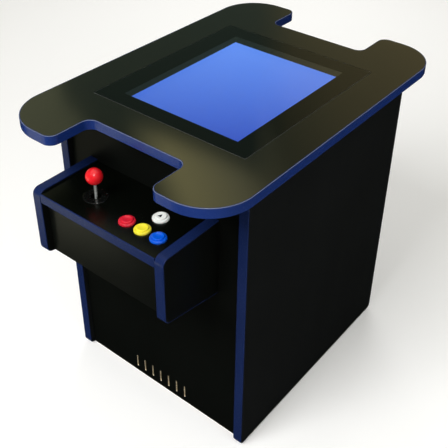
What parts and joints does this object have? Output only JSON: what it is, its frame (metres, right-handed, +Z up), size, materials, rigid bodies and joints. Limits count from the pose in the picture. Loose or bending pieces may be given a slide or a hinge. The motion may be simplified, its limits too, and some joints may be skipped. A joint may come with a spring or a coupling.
{
  "type": "cocktail arcade table",
  "caption": "Sit-down arcade table for two facing players, with a lift-up lobed top, a display under glass, control boxes with ball-top sticks and push buttons.",
  "frame": {"origin": "on the floor under the middle of the cabinet", "axes": "+Z up, -Y towards the first player, +X to the first player's right"},
  "size_m": [0.562, 0.862, 0.72],
  "materials": {
    "black_laminate": "satin black laminate on fibreboard",
    "raw_board": "bare fibreboard",
    "blue_molding": "semi-gloss extruded vinyl",
    "clear_glass": "polished",
    "black_mask": "matt black",
    "display": "lit display behind a polished face",
    "grey_steel": "plated sheet steel",
    "zinc_steel": "zinc plated",
    "chrome_shaft": "bright plated",
    "spring_steel": "drawn wire",
    "black_plastic": "moulded",
    "black_nylon": "moulded nylon",
    "black_cable": "sleeved cable bundle",
    "green_board": "solder mask with moulded chips",
    "red_plastic": "polished",
    "yellow_plastic": "polished",
    "blue_plastic": "polished",
    "white_plastic": "polished"
  },
  "bodies": {
    "cabinet": {"blue_button_housings": "blue_plastic", "bottom_panel": "raw_board", "box_cheeks": "black_laminate", "box_floors": "raw_board", "box_fronts": "black_laminate", "button_nuts": "black_nylon", "button_switches": "black_plastic", "cheek_moldings": "blue_molding", "control_panels": "black_laminate", "dust_washers": "black_plastic", "fixing_screws": "zinc_steel", "front_panel": "black_laminate", "game_board": "green_board", "glide_feet": "black_plastic", "hinge_frame_leaves": "zinc_steel", "hinge_pins": "zinc_steel", "left_side_panel": "black_laminate", "panel_moldings": "blue_molding", "power_inlet": "black_plastic", "power_supply": "grey_steel", "rear_panel": "black_laminate", "red_button_housings": "red_plastic", "right_side_panel": "black_laminate", "side_moldings": "blue_molding", "speaker": "black_plastic", "stick_gates": "black_plastic", "stick_housings": "black_plastic", "stick_plates": "grey_steel", "stick_switches": "black_plastic", "white_button_housings": "white_plastic", "wiring_harness": "black_cable", "yellow_button_housings": "yellow_plastic"},
    "lid": {"table_top": "black_laminate", "table_top_molding": "blue_molding", "top_glass": "clear_glass", "monitor_bezel": "black_mask", "monitor_screen": "display", "monitor_case": "grey_steel", "monitor_rails": "grey_steel", "hinge_lid_leaves": "zinc_steel", "lid_screws": "zinc_steel"},
    "p1_pivot": {"p1_stick_pivot": "black_nylon"},
    "p1_stick": {"p1_stick_ball": "red_plastic", "p1_stick_shaft": "chrome_shaft", "p1_stick_actuator": "black_nylon", "p1_stick_spring": "spring_steel"},
    "p1_red_button": {"p1_red_plunger": "red_plastic"},
    "p1_yellow_button": {"p1_yellow_plunger": "yellow_plastic"},
    "p1_blue_button": {"p1_blue_plunger": "blue_plastic"},
    "p1_white_button": {"p1_white_plunger": "white_plastic"},
    "p2_pivot": {"p2_stick_pivot": "black_nylon"},
    "p2_stick": {"p2_stick_ball": "red_plastic", "p2_stick_shaft": "chrome_shaft", "p2_stick_actuator": "black_nylon", "p2_stick_spring": "spring_steel"},
    "p2_red_button": {"p2_red_plunger": "red_plastic"},
    "p2_yellow_button": {"p2_yellow_plunger": "yellow_plastic"},
    "p2_blue_button": {"p2_blue_plunger": "blue_plastic"},
    "p2_white_button": {"p2_white_plunger": "white_plastic"},
    "rocker": {"power_rocker": "black_plastic"}
  },
  "joints": [
    {"name": "lid_hinge", "type": "hinge", "parent": "cabinet", "child": "lid", "pos_m": [-0.2585, 0, 0.6935], "axis": [0, -1, 0], "range_deg": [0, 95]},
    {"name": "p1_stick_fore_aft", "type": "hinge", "parent": "cabinet", "child": "p1_pivot", "pos_m": [-0.063, -0.3645, 0.5576], "axis": [1, 0, 0], "range_deg": [-7.5, 7.5]},
    {"name": "p1_stick_left_right", "type": "hinge", "parent": "p1_pivot", "child": "p1_stick", "pos_m": [-0.063, -0.3645, 0.5576], "axis": [0, 1, 0], "range_deg": [-7.5, 7.5]},
    {"name": "p1_red_press", "type": "slide", "parent": "cabinet", "child": "p1_red_button", "axis": [0, 0, -1], "range_m": [0, 0.003]},
    {"name": "p1_yellow_press", "type": "slide", "parent": "cabinet", "child": "p1_yellow_button", "axis": [0, 0, -1], "range_m": [0, 0.003]},
    {"name": "p1_blue_press", "type": "slide", "parent": "cabinet", "child": "p1_blue_button", "axis": [0, 0, -1], "range_m": [0, 0.003]},
    {"name": "p1_white_press", "type": "slide", "parent": "cabinet", "child": "p1_white_button", "axis": [0, 0, -1], "range_m": [0, 0.003]},
    {"name": "p2_stick_fore_aft", "type": "hinge", "parent": "cabinet", "child": "p2_pivot", "pos_m": [0.063, 0.3645, 0.5576], "axis": [-1, 0, 0], "range_deg": [-7.5, 7.5]},
    {"name": "p2_stick_left_right", "type": "hinge", "parent": "p2_pivot", "child": "p2_stick", "pos_m": [0.063, 0.3645, 0.5576], "axis": [0, -1, 0], "range_deg": [-7.5, 7.5]},
    {"name": "p2_red_press", "type": "slide", "parent": "cabinet", "child": "p2_red_button", "axis": [0, 0, -1], "range_m": [0, 0.003]},
    {"name": "p2_yellow_press", "type": "slide", "parent": "cabinet", "child": "p2_yellow_button", "axis": [0, 0, -1], "range_m": [0, 0.003]},
    {"name": "p2_blue_press", "type": "slide", "parent": "cabinet", "child": "p2_blue_button", "axis": [0, 0, -1], "range_m": [0, 0.003]},
    {"name": "p2_white_press", "type": "slide", "parent": "cabinet", "child": "p2_white_button", "axis": [0, 0, -1], "range_m": [0, 0.003]},
    {"name": "rocker_tilt", "type": "hinge", "parent": "cabinet", "child": "rocker", "pos_m": [0.15, 0.2745, 0.104], "axis": [1, 0, 0], "range_deg": [-8, 8]}
  ]
}
